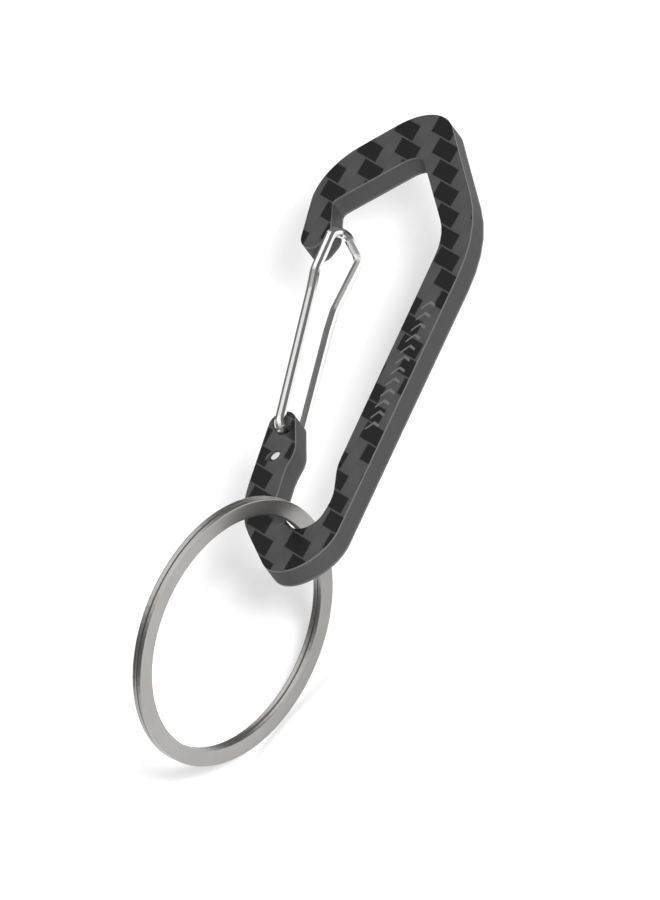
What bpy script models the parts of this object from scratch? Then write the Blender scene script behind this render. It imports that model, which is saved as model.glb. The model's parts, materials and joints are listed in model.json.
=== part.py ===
"""Key organiser: a flat plate carabiner with a wire gate and a split key ring.

Units are metres. The plate lies in the XY plane with its front face up, and +Y runs along its spine to the top.
The origin is inside the top corner of the opening, at mid thickness, where the carabiner hangs.
Outlines are written in millimetres from that origin, as (x, y, corner radius).
"""

import math

import bmesh
import bpy
from mathutils import Matrix, Vector

MM = 0.001

PLATE_THICKNESS = 2.5 * MM
EDGE_BEVEL = 0.2 * MM

WIRE_RADIUS = 0.6 * MM
WIRE_FACE_GAP = 0.2 * MM
GATE_OPENING_DEG = 20.0
FOOT_CLEARANCE = 0.25 * MM
FOOT_PLAY_DEG = 5.5
FOOT_RECESS = 0.1 * MM

RING_OUTER_RADIUS = 15.75 * MM
RING_RADIAL_WIDTH = 1.95 * MM
RING_TURN_THICKNESS = 0.62 * MM
RING_TURN_GAP = 0.08 * MM
RING_EDGE_RADIUS = 0.15 * MM
RING_JOGGLE_START_DEG = 340.0
RING_JOGGLE_END_DEG = 357.0
RING_STEP_DEG = 4.0

# Where the ring hangs in its pocket: its centre, its own axis, and the way its cut end points from the centre.
RING_CENTRE = Vector((1.33, -72.3, -2.65)) * MM
RING_AXIS = Vector((0.885, -0.359, -0.295)).normalized()
RING_END_DIRECTION = Vector((0.5, 0.8, 0.1))

# The plate's outline, clockwise from the nose's tip as seen from the front.
PLATE_OUTLINE = [
    (-12.3, -11.3, 3.0),  # nose tip, outer corner
    (-14.65, 1.7, 7.4),  # shoulder above the nose
    (0.0, 9.6, 6.6),  # top corner
    (15.15, -15.15, 27.3),  # into the spine
    (14.95, -66.8, 5.2),  # foot of the spine
    (7.9, -69.35, 5.1),  # lowest corner
    (-1.8, -56.8, 18.0),  # lower left
    (-3.9, -40.2, 1.4),  # hinge lobe, outer corner
    (-0.55, -40.65, 2.5),  # hinge lobe, top
    (2.35, -47.5, 4.5),  # hinge lobe, inner side
    (2.1, -50.55, 7.0),  # waist above the ring pocket
    (3.0, -56.45, 2.4),  # ring pocket, left
    (7.8, -61.4, 2.5),  # ring pocket, floor
    (11.1, -62.05, 2.2),  # ring pocket, right
    (11.85, -57.35, 6.8),  # ring pocket, neck
    (10.2, -52.0, 7.0),  # inner edge of the spine
    (10.15, -15.05, 12.2),  # inner corner beside the bend
    (0.25, 0.9, 2.6),  # inner top corner
    (-10.3, -4.5, 0.8),  # behind the nose
    (-8.45, -9.65, 1.7),  # nose bulge beside the gate's end
    (-9.45, -12.45, 1.2),  # nose tip, inner corner
]

# Hole centres for the two feet of the gate: the front leg's foot, then the back leg's.
FRONT_FOOT = Vector((-1.1, -43.65, 0.0)) * MM
BACK_FOOT = Vector((-0.35, -47.85, 0.0)) * MM

# The legs, from foot to bend, as (x, y). They kink where they reach the nose.
FRONT_LEG = [(-5.95, -20.95), (-6.85, -17.4), (-7.1, -8.9)]
BACK_LEG = [(-5.1, -23.85), (-5.6, -20.45), (-5.3, -12.1)]
WIRE_BENDS = [0.0, 0.9, 4.0, 4.0, 1.5, 1.5, 4.0, 4.0, 0.9, 0.0]


def clear_scene():
    for obj in list(bpy.data.objects):
        bpy.data.objects.remove(obj, do_unlink=True)


def new_collection(name):
    collection = bpy.data.collections.new(name)
    bpy.context.scene.collection.children.link(collection)
    return collection


def material(name, colour, metallic, roughness):
    made = bpy.data.materials.new(name)
    made.use_nodes = True
    shader = made.node_tree.nodes["Principled BSDF"]
    shader.inputs["Base Color"].default_value = (*colour, 1.0)
    shader.inputs["Metallic"].default_value = metallic
    shader.inputs["Roughness"].default_value = roughness
    return made


def rounded_path(corners, closed, arc_step=math.radians(7.5)):
    """Points along straight runs whose corners, given as (point, radius), are rounded by arcs."""
    points = []
    count = len(corners)
    for i, (corner, radius) in enumerate(corners):
        if not closed and i in (0, count - 1):
            points.append(corner)
            continue
        before = (corners[i - 1][0] - corner).normalized()
        after = (corners[(i + 1) % count][0] - corner).normalized()
        half = before.angle(after) / 2
        turn = math.pi - 2 * half
        if radius == 0 or turn < math.radians(1.0):
            points.append(corner)
            continue
        centre = corner + (before + after).normalized() * radius / math.sin(half)
        start = corner + before * radius / math.tan(half) - centre
        end = corner + after * radius / math.tan(half) - centre
        steps = max(2, math.ceil(turn / arc_step))
        for step in range(steps + 1):
            share = step / steps
            blend = start * math.sin((1 - share) * turn) + end * math.sin(share * turn)
            points.append(centre + blend / math.sin(turn))
    return points


def curve_object(name, points, closed, flat, collection):
    data = bpy.data.curves.new(name, "CURVE")
    data.dimensions = "2D" if flat else "3D"
    spline = data.splines.new("POLY")
    spline.points.add(len(points) - 1)
    for target, point in zip(spline.points, points):
        target.co = (*point, 1.0)
    spline.use_cyclic_u = closed
    obj = bpy.data.objects.new(name, data)
    collection.objects.link(obj)
    return obj


def as_mesh(obj, collection):
    """The curve object made a closed mesh object of the same name, its caps welded and its faces outward."""
    bpy.context.view_layer.update()
    graph = bpy.context.evaluated_depsgraph_get()
    mesh = bpy.data.meshes.new_from_object(obj.evaluated_get(graph))
    name, place = obj.name, obj.matrix_world.copy()
    bpy.data.objects.remove(obj, do_unlink=True)
    solid = bmesh.new()
    solid.from_mesh(mesh)
    bmesh.ops.remove_doubles(solid, verts=solid.verts, dist=1e-6)
    bmesh.ops.recalc_face_normals(solid, faces=solid.faces)
    solid.to_mesh(mesh)
    solid.free()
    made = bpy.data.objects.new(name, mesh)
    made.matrix_world = place
    collection.objects.link(made)
    return made


def flat_plate(name, points, thickness, collection):
    obj = curve_object(name, points, True, True, collection)
    obj.data.fill_mode = "BOTH"
    obj.data.extrude = thickness / 2
    return as_mesh(obj, collection)


def foot_slot(foot, pivot, plate, collection):
    """Cuts one foot's hole: a loose round hole, drawn out along the arc that the foot sweeps as the gate opens.

    The hole's ends stop short of the foot's own by FOOT_PLAY_DEG, which its clearance allows.
    """
    radius = WIRE_RADIUS + FOOT_CLEARANCE
    arm = foot - pivot
    outline = []
    for end_deg, side in ((-FOOT_PLAY_DEG, 1), (FOOT_PLAY_DEG - GATE_OPENING_DEG, -1)):
        turn = Matrix.Rotation(math.radians(end_deg), 3, "Z")
        for step in range(9):
            around = Matrix.Rotation(math.radians(180.0 * step / 8), 3, "Z")
            outline.append(pivot + turn @ (arm + around @ arm.normalized() * radius * side))
    cutter = flat_plate("foot_slot_cutter", outline, PLATE_THICKNESS * 2, collection)
    cutter.hide_render = True
    cutter.display_type = "WIRE"
    cut = plate.modifiers.new("foot slot", "BOOLEAN")
    cut.operation = "DIFFERENCE"
    cut.solver = "EXACT"
    cut.object = cutter


def make_plate(parts, cutters, pivot):
    outline = [(Vector((x, y, 0.0)) * MM, radius * MM) for x, y, radius in PLATE_OUTLINE]
    points = rounded_path(outline, closed=True)
    plate = flat_plate("carabiner_plate", points, PLATE_THICKNESS, parts)
    bevel = plate.modifiers.new("edge break", "BEVEL")
    bevel.width = EDGE_BEVEL
    bevel.segments = 2
    bevel.limit_method = "ANGLE"
    bevel.angle_limit = math.radians(60.0)
    foot_slot(FRONT_FOOT, pivot, plate, cutters)
    foot_slot(BACK_FOOT, pivot, plate, cutters)
    plate.data.shade_smooth()
    plate.data.set_sharp_from_angle(angle=math.radians(30.0))
    plate.data.materials.append(material("carbon_plate", (0.028, 0.029, 0.031), 0.0, 0.38))


def make_gate(parts, pivot):
    leg_z = PLATE_THICKNESS / 2 + WIRE_FACE_GAP + WIRE_RADIUS
    foot_end_z = PLATE_THICKNESS / 2 - FOOT_RECESS
    path = [FRONT_FOOT - Vector((0, 0, foot_end_z)), FRONT_FOOT + Vector((0, 0, leg_z))]
    path += [Vector((x * MM, y * MM, leg_z)) for x, y in FRONT_LEG]
    path += [Vector((x * MM, y * MM, -leg_z)) for x, y in reversed(BACK_LEG)]
    path += [BACK_FOOT - Vector((0, 0, leg_z)), BACK_FOOT + Vector((0, 0, foot_end_z))]
    corners = [(point - pivot, radius * MM) for point, radius in zip(path, WIRE_BENDS)]
    wire = curve_object("wire_gate", rounded_path(corners, closed=False), False, False, parts)
    wire.data.bevel_depth = WIRE_RADIUS
    wire.data.bevel_resolution = 3
    wire.data.use_fill_caps = True
    wire.location = pivot
    wire = as_mesh(wire, parts)
    wire.data.shade_smooth()
    wire.data.set_sharp_from_angle(angle=math.radians(50.0))
    wire.data.materials.append(material("gate_wire", (0.78, 0.78, 0.77), 1.0, 0.14))


def ring_section(cutters):
    """The wire's section: a rectangle with rounded corners, wide across the ring and thin along its axis."""
    half_width, half_thickness = RING_RADIAL_WIDTH / 2, RING_TURN_THICKNESS / 2
    signs = [(1, 1), (-1, 1), (-1, -1), (1, -1)]
    corners = [(Vector((x * half_width, y * half_thickness, 0.0)), RING_EDGE_RADIUS) for x, y in signs]
    points = rounded_path(corners, closed=True, arc_step=math.radians(45.0))
    section = curve_object("ring_section", points, True, True, cutters)
    section.hide_render = True
    return section


def make_ring(parts, cutters):
    """Two turns of flat wire. The first turn steps up beside its own start, and the second stops short of the step."""
    mean_radius = RING_OUTER_RADIUS - RING_RADIAL_WIDTH / 2
    layer = (RING_TURN_THICKNESS + RING_TURN_GAP) / 2
    end_deg = 360.0 + RING_JOGGLE_START_DEG - 3.0
    count = math.ceil(end_deg / RING_STEP_DEG)
    points = []
    for i in range(count + 1):
        angle = end_deg * i / count
        share = (angle - RING_JOGGLE_START_DEG) / (RING_JOGGLE_END_DEG - RING_JOGGLE_START_DEG)
        share = min(1.0, max(0.0, share))
        height = layer * (2 * share * share * (3 - 2 * share) - 1)
        turn = math.radians(angle)
        points.append(Vector((mean_radius * math.cos(turn), mean_radius * math.sin(turn), height)))
    ring = curve_object("split_ring", points, False, False, parts)
    ring.data.twist_mode = "Z_UP"
    ring.data.bevel_mode = "OBJECT"
    ring.data.bevel_object = ring_section(cutters)
    ring.data.use_fill_caps = True
    start = (RING_END_DIRECTION - RING_AXIS * RING_END_DIRECTION.dot(RING_AXIS)).normalized()
    side = RING_AXIS.cross(start)
    turned = Matrix((start, side, RING_AXIS)).transposed().to_4x4()
    ring.matrix_world = Matrix.Translation(RING_CENTRE) @ turned
    ring = as_mesh(ring, parts)
    ring.data.shade_smooth()
    ring.data.set_sharp_from_angle(angle=math.radians(50.0))
    ring.data.materials.append(material("ring_steel", (0.62, 0.61, 0.59), 1.0, 0.3))


def main():
    clear_scene()
    parts = new_collection("key_organiser")
    cutters = new_collection("cutters")
    pivot = (FRONT_FOOT + BACK_FOOT) / 2
    make_plate(parts, cutters, pivot)
    make_gate(parts, pivot)
    make_ring(parts, cutters)


main()
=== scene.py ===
"""The looks of the key organiser: woven carbon plate, polished wire gate and satin split ring.

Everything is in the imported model's frame, in metres. The plate lies in XY with its front face up (+Z).
"""

import json
import math

import bpy
from mathutils import Matrix, Vector


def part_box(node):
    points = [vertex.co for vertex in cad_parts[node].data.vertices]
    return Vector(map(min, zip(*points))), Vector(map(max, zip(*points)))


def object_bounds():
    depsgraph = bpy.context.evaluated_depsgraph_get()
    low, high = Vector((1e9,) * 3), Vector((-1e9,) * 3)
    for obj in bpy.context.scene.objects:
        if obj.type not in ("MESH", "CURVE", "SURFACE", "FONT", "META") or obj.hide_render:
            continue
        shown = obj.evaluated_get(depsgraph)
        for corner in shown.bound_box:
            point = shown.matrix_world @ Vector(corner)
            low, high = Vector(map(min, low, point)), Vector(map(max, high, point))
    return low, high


MM = 0.001


def grey(level, warmth=0.0):
    """A colour of one level, a little redder and less blue as warmth grows."""
    return (level * (1 + warmth), level, level * (1 - warmth), 1.0)


# The camera: nearly parallel, so it stands far back behind a long lens.
VIEW_RIGHT = Vector((0.7878, 0.3283, -0.5212))
VIEW_UP = Vector((0.1645, 0.7033, 0.6916))
VIEW_TARGET = Vector((12.2, -53.5, 4.9)) * MM
VIEW_LENS_MM = 1000.0
VIEW_HEIGHT = 100.4 * MM
SENSOR_MM = 36.0

# The weave: the step from one tow to the next along each direction of the cloth, and one crossing's corner.
TOW_STEP_A = Vector((1.92, -1.37)) * MM
TOW_STEP_B = Vector((-0.26, -2.56)) * MM
WEAVE_CORNER = Vector((3.83, -1.06)) * MM
TWILL_REPEAT = 4

# The tows' tones as (darkest, palest), how fine their fibres are, and their edges in parts of a tow.
# The pale tows' tones are painted reflection; the dark tows' tones are the fibre's own black.
PALE_TOW_PAINTED_REFLECTION = grey(0.038), grey(0.06)
# A painted sheen: along each pale tow the colour moves towards this tone, by up to this share.
PAINTED_SHEEN_TONE = grey(0.066)
PAINTED_SHEEN_SHARE = 0.4
DARK_TOW = grey(0.004), grey(0.008)
# Painted shade at the pale tows' edges.
PAINTED_TOW_EDGE_SHADE = grey(0.046)
FIBRES_ACROSS = 34.0
FIBRES_ALONG = 1.5
DARK_TOW_EDGE = 0.07
PALE_TOW_EDGE = 0.06
CROWN_EDGE = 0.4
PALE_ROUGH = 0.42
DARK_ROUGH = 0.3
CLOTH_BUMP = 0.22
CLOTH_RELIEF = 0.03 * MM
CARBON_SPECULAR = 0.22

# The cut sides show plies and grain, and the broken edges a paler tone, a painted highlight. The last two
# are depths below a face, where the weave and the painted edge highlight take over.
SIDE_TONES = grey(0.026), grey(0.06)
# A painted highlight on the broken edges.
PAINTED_EDGE_HIGHLIGHT = grey(0.06), grey(0.12)
PLY_STREAK = 90.0
PLY_SCALE = 9000.0
GRAIN_SCALE = 9000.0
GRAIN_SHARE = 0.6
GRAIN_RELIEF = 0.5
SIDE_ROUGH = 0.62
EDGE_ROUGH = 0.4
FACE_DEPTH = (0.03 * MM, 0.01 * MM)
EDGE_DEPTH = (0.26 * MM, 0.18 * MM)

# The row of chevrons on the spine.
MARK_LINE_X = 12.85 * MM
MARK_START_Y = -46.6 * MM
MARK_PITCH = 1.75 * MM
MARK_COUNT = 12
MARK_HALF_HEIGHT = 1.0 * MM
MARK_STROKE = 0.5 * MM
MARK_SLANT = 0.8
MARK_STRENGTH = 0.8
MARK_TONE = grey(0.13)
MARK_ROUGH = 0.62
MARK_RELIEF = 0.7

WIRE_TONES = grey(0.74, 0.01), grey(0.86, 0.01)
WIRE_ROUGH = (0.07, 0.19)
WIRE_BUMP = 0.12
WIRE_RELIEF = 0.006 * MM
DRAW_LINES = (16000.0, 500.0, 16000.0)
SMUDGE_SCALE = 420.0
# The gate's cut ends lie within this distance of the plate's middle and face squarely out.
# Its legs lie farther.
WIRE_END_DEPTH = 1.3 * MM
SQUARE_END = (0.8, 0.95)
CUT_END_ROUGH = 0.6

RING_TONES = grey(0.3, 0.03), grey(0.37, 0.02)
RING_ROUGH = (0.26, 0.38)
RING_BUMP = 0.1
RING_RELIEF = 0.012 * MM
CLOUD_SCALE = 260.0
SCRATCH_FINE = 9000.0
SCRATCH_LONG = 9.0
SCRATCH_DETAIL = 6.0
SCRATCH_BAND = (0.6, 0.9)
SCRATCH_TONE = grey(0.42, 0.02)

# The lamps, as (name, direction from the part, distance, side, watts).
SOFTBOXES = [
    ("key", (1.5, -1.1, 1.1), 1.2, 0.2, 17.0),
    ("top", (-0.1, 0.15, 1.0), 0.6, 0.9, 1.6),
]

# The studio's brightness by height: dark walls and a pale ceiling, as (sine of elevation, level).
SKY_LEVELS = [(0.0, 0.2), (1.0, 1.0), (0.6, 0.18), (0.8, 0.9)]

FLOOR_DROP = 0.6 * MM
FLOOR_SIZE = 6.0
FLOOR_TONES = grey(0.9), grey(0.93)
FLOOR_SPECKLE = 900.0
FLOOR_ROUGH = 0.9


class Material:
    """A node material whose helpers return sockets, so that formulas read as formulas."""

    def __init__(self, name):
        self.made = bpy.data.materials.new(name)
        self.made.use_nodes = True
        self.nodes = self.made.node_tree.nodes
        self.links = self.made.node_tree.links
        self.shader = self.nodes["Principled BSDF"]

    def feed(self, socket, value):
        if isinstance(value, bpy.types.NodeSocket):
            self.links.new(value, socket)
        else:
            socket.default_value = value

    def node_made(self, kind, **settings):
        made = self.nodes.new(kind)
        for key, setting in settings.items():
            setattr(made, key, setting)
        return made

    def node(self, kind, *values, out=0, **settings):
        """Makes a node, feeds its inputs in order and returns one output. None skips an input."""
        made = self.node_made(kind, **settings)
        for socket, value in zip(made.inputs, values):
            if value is not None:
                self.feed(socket, value)
        return made.outputs[out]

    def math(self, operation, *values):
        return self.node("ShaderNodeMath", *values, operation=operation)

    def vector(self, operation, *values, out=0):
        return self.node("ShaderNodeVectorMath", *values, operation=operation, out=out)

    def dot(self, point, direction):
        return self.vector("DOT_PRODUCT", point, tuple(direction), out="Value")

    def combine(self, x, y, z=0.0):
        return self.node("ShaderNodeCombineXYZ", x, y, z)

    def place(self):
        return self.node("ShaderNodeTexCoord", out="Object")

    def step(self, value, start, end):
        """0 up to start and 1 from end on, with a smooth change between."""
        return self.node("ShaderNodeMapRange", value, start, end, interpolation_type="SMOOTHSTEP")

    def noise(self, point, scale, detail=3.0):
        made = self.node_made("ShaderNodeTexNoise")
        self.feed(made.inputs["Vector"], point)
        made.inputs["Scale"].default_value = scale
        made.inputs["Detail"].default_value = detail
        return made.outputs["Fac"]

    def mixed(self, kind, suffix, share, first, second):
        made = self.node_made("ShaderNodeMix", data_type=kind)
        for name, value in (("Factor_Float", share), ("A_" + suffix, first), ("B_" + suffix, second)):
            self.feed(next(s for s in made.inputs if s.identifier == name), value)
        return next(s for s in made.outputs if s.identifier == "Result_" + suffix)

    def mix(self, share, first, second):
        """A colour that goes from first to second as share goes from 0 to 1."""
        return self.mixed("RGBA", "Color", share, first, second)

    def blend(self, share, first, second):
        """A number that goes from first to second as share goes from 0 to 1."""
        return self.mixed("FLOAT", "Float", share, first, second)

    def bump(self, height, strength, distance):
        made = self.node_made("ShaderNodeBump")
        made.inputs["Strength"].default_value = strength
        made.inputs["Distance"].default_value = distance
        self.links.new(height, made.inputs["Height"])
        return made.outputs["Normal"]

    def set(self, **values):
        """Feeds the surface shader's inputs, named as base_color, roughness and so on."""
        for key, value in values.items():
            self.feed(self.shader.inputs[key.replace("_", " ").title().replace("Ior", "IOR")], value)


def across_tow(mat, share):
    """0 at a tow's two edges and 0.5 along its middle, from the fraction across it."""
    return mat.math("PINGPONG", share, 0.5)


def tow_shares(mat, place):
    """Where a point lies on the weave, counted in tows along each direction of the cloth."""
    to_tows = Matrix((TOW_STEP_A, TOW_STEP_B)).transposed().inverted()
    from_corner = mat.vector("SUBTRACT", place, (*WEAVE_CORNER, 0.0))
    return (mat.dot(from_corner, (*row, 0.0)) for row in to_tows)


def fibres(mat, across, along):
    """Fine streaks that run along a tow."""
    streaks = mat.combine(
        mat.math("MULTIPLY", across, FIBRES_ACROSS), mat.math("MULTIPLY", along, FIBRES_ALONG)
    )
    return mat.noise(streaks, 1.0)


def twill(mat, place):
    """The cloth's colour, where its dark tows lie on top, and the height of its crowns.

    Seen from the front, the tows of one direction look dark and those of the other pale. The dark tows keep
    the fibre's own black; the pale tows' tone is painted reflection, with a painted sheen along them and
    painted shade at their edges.
    """
    a, b = tow_shares(mat, place)
    column, row = mat.math("FLOOR", a), mat.math("FLOOR", b)
    repeat = float(TWILL_REPEAT)
    crossing = mat.math("FLOORED_MODULO", mat.math("SUBTRACT", column, row), repeat)
    over = mat.math("LESS_THAN", crossing, TWILL_REPEAT / 2 - 0.5)
    along_a = mat.math("FLOORED_MODULO", mat.math("SUBTRACT", a, row), repeat)
    along_b = mat.math(
        "FLOORED_MODULO", mat.math("ADD", mat.math("SUBTRACT", b, column), repeat - 1), repeat
    )
    from_sides = across_tow(mat, mat.math("FRACT", b))
    inside_a = mat.math("MINIMUM", mat.math("PINGPONG", along_a, 1.0), from_sides)
    inside_b = across_tow(mat, mat.math("FRACT", a))
    dark = mat.math("MULTIPLY", over, mat.step(inside_a, 0.0, DARK_TOW_EDGE))
    fibres_a, fibres_b = fibres(mat, b, a), fibres(mat, a, b)
    # The pale tows' colour is painted reflection.
    pale = mat.mix(fibres_b, *PALE_TOW_PAINTED_REFLECTION)
    # A painted sheen that rises and falls along each pale tow.
    painted_sheen = mat.step(mat.math("PINGPONG", along_b, 1.0), 0.0, 1.0)
    pale = mat.mix(mat.math("MULTIPLY", painted_sheen, PAINTED_SHEEN_SHARE), pale, PAINTED_SHEEN_TONE)
    # Painted shade: the pale tows fade to a darker tone at their edges.
    pale = mat.mix(mat.step(inside_b, 0.0, PALE_TOW_EDGE), PAINTED_TOW_EDGE_SHADE, pale)
    cloth = mat.mix(dark, pale, mat.mix(fibres_a, *DARK_TOW))
    crown = mat.blend(over, mat.step(inside_b, 0.0, CROWN_EDGE), mat.step(inside_a, 0.0, CROWN_EDGE))
    return cloth, dark, crown


def carbon_material(thickness):
    """2/2 twill with painted reflection on the faces, matt plies on the cut sides, and a painted highlight
    on the broken edges.
    """
    mat = Material("carbon_twill")
    place = mat.place()
    x, y, z = (mat.dot(place, axis) for axis in ((1, 0, 0), (0, 1, 0), (0, 0, 1)))
    cloth, dark, crown = twill(mat, place)
    marks = mark_mask(mat, x, y, z)
    cloth = mat.mix(marks, cloth, MARK_TONE)
    layers = mat.vector("MULTIPLY", place, (PLY_STREAK, PLY_STREAK, PLY_SCALE))
    plies = mat.noise(layers, 1.0)
    grain = mat.noise(place, GRAIN_SCALE)
    side = mat.mix(mat.blend(GRAIN_SHARE, plies, grain), *SIDE_TONES)
    depth = mat.math("ABSOLUTE", z)
    on_face = mat.step(depth, thickness / 2 - FACE_DEPTH[0], thickness / 2 - FACE_DEPTH[1])
    on_edge = mat.step(depth, thickness / 2 - EDGE_DEPTH[0], thickness / 2 - EDGE_DEPTH[1])
    # A painted highlight along the broken edges.
    side = mat.mix(on_edge, side, mat.mix(grain, *PAINTED_EDGE_HIGHLIGHT))
    mat.set(base_color=mat.mix(on_face, side, cloth))
    face_rough = mat.blend(marks, mat.blend(dark, PALE_ROUGH, DARK_ROUGH), MARK_ROUGH)
    mat.set(roughness=mat.blend(on_face, mat.blend(on_edge, SIDE_ROUGH, EDGE_ROUGH), face_rough))
    raised = mat.math("ADD", crown, mat.math("MULTIPLY", marks, MARK_RELIEF))
    relief = mat.blend(on_face, mat.math("MULTIPLY", grain, GRAIN_RELIEF), raised)
    mat.set(normal=mat.bump(relief, CLOTH_BUMP, CLOTH_RELIEF), specular_ior_level=CARBON_SPECULAR)
    return mat.made


def mark_mask(mat, x, y, z):
    """1 on a row of small chevrons along the spine's front face."""
    off_line = mat.math("ABSOLUTE", mat.math("SUBTRACT", x, MARK_LINE_X))
    along = mat.math("SUBTRACT", y, MARK_START_Y)
    bent = mat.math("ADD", along, mat.math("MULTIPLY", off_line, MARK_SLANT))
    slanted = mat.math("DIVIDE", bent, MARK_PITCH)
    stroke = mat.math("MULTIPLY", across_tow(mat, mat.math("FRACT", slanted)), MARK_PITCH)
    middle = MARK_PITCH / 2
    drawn = mat.step(stroke, middle - MARK_STROKE / 2, middle - MARK_STROKE / 3)
    short = mat.math("LESS_THAN", off_line, MARK_HALF_HEIGHT)
    half_row = MARK_PITCH * MARK_COUNT / 2
    inner = mat.math("COMPARE", along, half_row, half_row)
    front = mat.math("GREATER_THAN", z, 0.0)
    mask = mat.math("MULTIPLY", drawn, short)
    return mat.math(
        "MULTIPLY", mat.math("MULTIPLY", mask, inner), mat.math("MULTIPLY", front, MARK_STRENGTH)
    )


def wire_material():
    """Drawn, polished stainless wire: bright, with faint draw lines, a few smudges and dull cut ends."""
    mat = Material("polished_wire")
    place = mat.place()
    lines = mat.noise(mat.vector("MULTIPLY", place, DRAW_LINES), 1.0)
    smudges = mat.noise(place, SMUDGE_SCALE)
    mat.set(base_color=mat.mix(smudges, *WIRE_TONES), metallic=1.0)
    z = mat.math("ABSOLUTE", mat.dot(place, (0, 0, 1)))
    facing = mat.math("ABSOLUTE", mat.dot(mat.node("ShaderNodeNewGeometry", out="Normal"), (0, 0, 1)))
    square = mat.step(facing, *SQUARE_END)
    cut_end = mat.math("MULTIPLY", mat.math("LESS_THAN", z, WIRE_END_DEPTH), square)
    rough = mat.blend(cut_end, mat.blend(smudges, *WIRE_ROUGH), CUT_END_ROUGH)
    mat.set(roughness=rough, normal=mat.bump(lines, WIRE_BUMP, WIRE_RELIEF))
    return mat.made


def ring_material(centre, axis):
    """Nickel-plated spring steel with a satin finish: fine, faint scratches run round the ring."""
    mat = Material("satin_ring")
    arm = mat.vector("SUBTRACT", mat.place(), tuple(centre))
    side = axis.orthogonal().normalized()
    up = axis.cross(side)
    height, u, v = (mat.dot(arm, direction) for direction in (axis, side, up))
    radius = mat.vector("LENGTH", mat.combine(u, v), out="Value")
    angle = mat.math("ARCTAN2", v, u)
    round_ring = mat.combine(
        mat.math("MULTIPLY", radius, SCRATCH_FINE),
        mat.math("MULTIPLY", angle, SCRATCH_LONG),
        mat.math("MULTIPLY", height, SCRATCH_FINE),
    )
    scratches = mat.noise(round_ring, 1.0, SCRATCH_DETAIL)
    cloudy = mat.noise(mat.vector("SCALE", arm, None, None, CLOUD_SCALE), 1.0)
    tint = mat.mix(cloudy, *RING_TONES)
    mat.set(base_color=mat.mix(mat.step(scratches, *SCRATCH_BAND), tint, SCRATCH_TONE), metallic=1.0)
    mat.set(roughness=mat.blend(scratches, *RING_ROUGH))
    mat.set(normal=mat.bump(scratches, RING_BUMP, RING_RELIEF))
    return mat.made


def floor_material():
    mat = Material("pale_floor")
    speckle = mat.noise(mat.place(), FLOOR_SPECKLE)
    mat.set(base_color=mat.mix(speckle, *FLOOR_TONES), roughness=FLOOR_ROUGH)
    return mat.made


def dress(node, material):
    """Gives a CAD node its material."""
    for slot in node.material_slots:
        slot.material = material
    if not node.material_slots:
        node.data.materials.append(material)


def make_floor(low):
    mesh = bpy.data.meshes.new("floor")
    half = FLOOR_SIZE / 2
    corners = [(-half, -half, 0), (half, -half, 0), (half, half, 0), (-half, half, 0)]
    mesh.from_pydata(corners, [], [(0, 1, 2, 3)])
    floor = bpy.data.objects.new("floor", mesh)
    floor.location.z = low.z - FLOOR_DROP
    mesh.materials.append(floor_material())
    bpy.context.scene.collection.objects.link(floor)


def softbox(name, direction, distance, side, power, target):
    data = bpy.data.lights.new(name, "AREA")
    data.shape = "SQUARE"
    data.size = side
    data.energy = power
    lamp = bpy.data.objects.new(name, data)
    away = Vector(direction).normalized()
    lamp.location = target + away * distance
    lamp.rotation_euler = away.to_track_quat("Z", "Y").to_euler()
    bpy.context.scene.collection.objects.link(lamp)


def make_lights(centre):
    for name, direction, distance, side, power in SOFTBOXES:
        softbox(name, direction, distance, side, power, centre)
    world = bpy.data.worlds.new("studio")
    world.use_nodes = True
    nodes, links = world.node_tree.nodes, world.node_tree.links
    background = nodes["Background"]
    background.inputs["Strength"].default_value = 1.0
    ramp = nodes.new("ShaderNodeValToRGB")
    for element, (height, level) in zip(ramp.color_ramp.elements, SKY_LEVELS):
        element.position, element.color = height, grey(level)
    for height, level in SKY_LEVELS[2:]:
        ramp.color_ramp.elements.new(height).color = grey(level)
    heights = nodes.new("ShaderNodeSeparateXYZ")
    links.new(nodes.new("ShaderNodeTexCoord").outputs["Generated"], heights.inputs[0])
    links.new(heights.outputs["Z"], ramp.inputs["Fac"])
    links.new(ramp.outputs["Color"], background.inputs["Color"])
    bpy.context.scene.world = world


def make_camera():
    data = bpy.data.cameras.new("camera")
    data.lens = VIEW_LENS_MM
    data.sensor_width = SENSOR_MM
    camera = bpy.data.objects.new("camera", data)
    back = VIEW_RIGHT.cross(VIEW_UP).normalized()
    distance = VIEW_HEIGHT * VIEW_LENS_MM / SENSOR_MM
    turned = Matrix((VIEW_RIGHT, VIEW_UP, back)).transposed().to_4x4()
    camera.matrix_world = Matrix.Translation(VIEW_TARGET + back * distance) @ turned
    data.clip_end = distance * 2
    bpy.context.scene.collection.objects.link(camera)
    bpy.context.scene.camera = camera


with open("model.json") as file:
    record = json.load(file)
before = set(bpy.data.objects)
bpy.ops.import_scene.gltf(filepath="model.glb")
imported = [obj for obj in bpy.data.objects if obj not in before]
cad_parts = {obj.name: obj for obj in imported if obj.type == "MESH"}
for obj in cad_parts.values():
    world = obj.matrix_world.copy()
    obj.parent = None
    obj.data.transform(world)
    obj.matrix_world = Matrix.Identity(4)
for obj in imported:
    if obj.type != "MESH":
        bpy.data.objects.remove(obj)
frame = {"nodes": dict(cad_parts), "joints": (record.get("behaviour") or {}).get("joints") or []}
cad_low, cad_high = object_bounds()

nodes = frame["nodes"]
plate_low, plate_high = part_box("carabiner_plate")
ring_turn = next(joint for joint in frame["joints"] if joint["name"] == "ring_turn")
dress(nodes["carabiner_plate"], carbon_material(plate_high.z - plate_low.z))
dress(nodes["wire_gate"], wire_material())
ring_axis = Vector(ring_turn["axis"]).normalized()
dress(nodes["split_ring"], ring_material(Vector(ring_turn["pos_m"]), ring_axis))

make_floor(cad_low)
make_lights((cad_low + cad_high) / 2)
make_camera()
bpy.context.scene.view_settings.view_transform = "Standard"
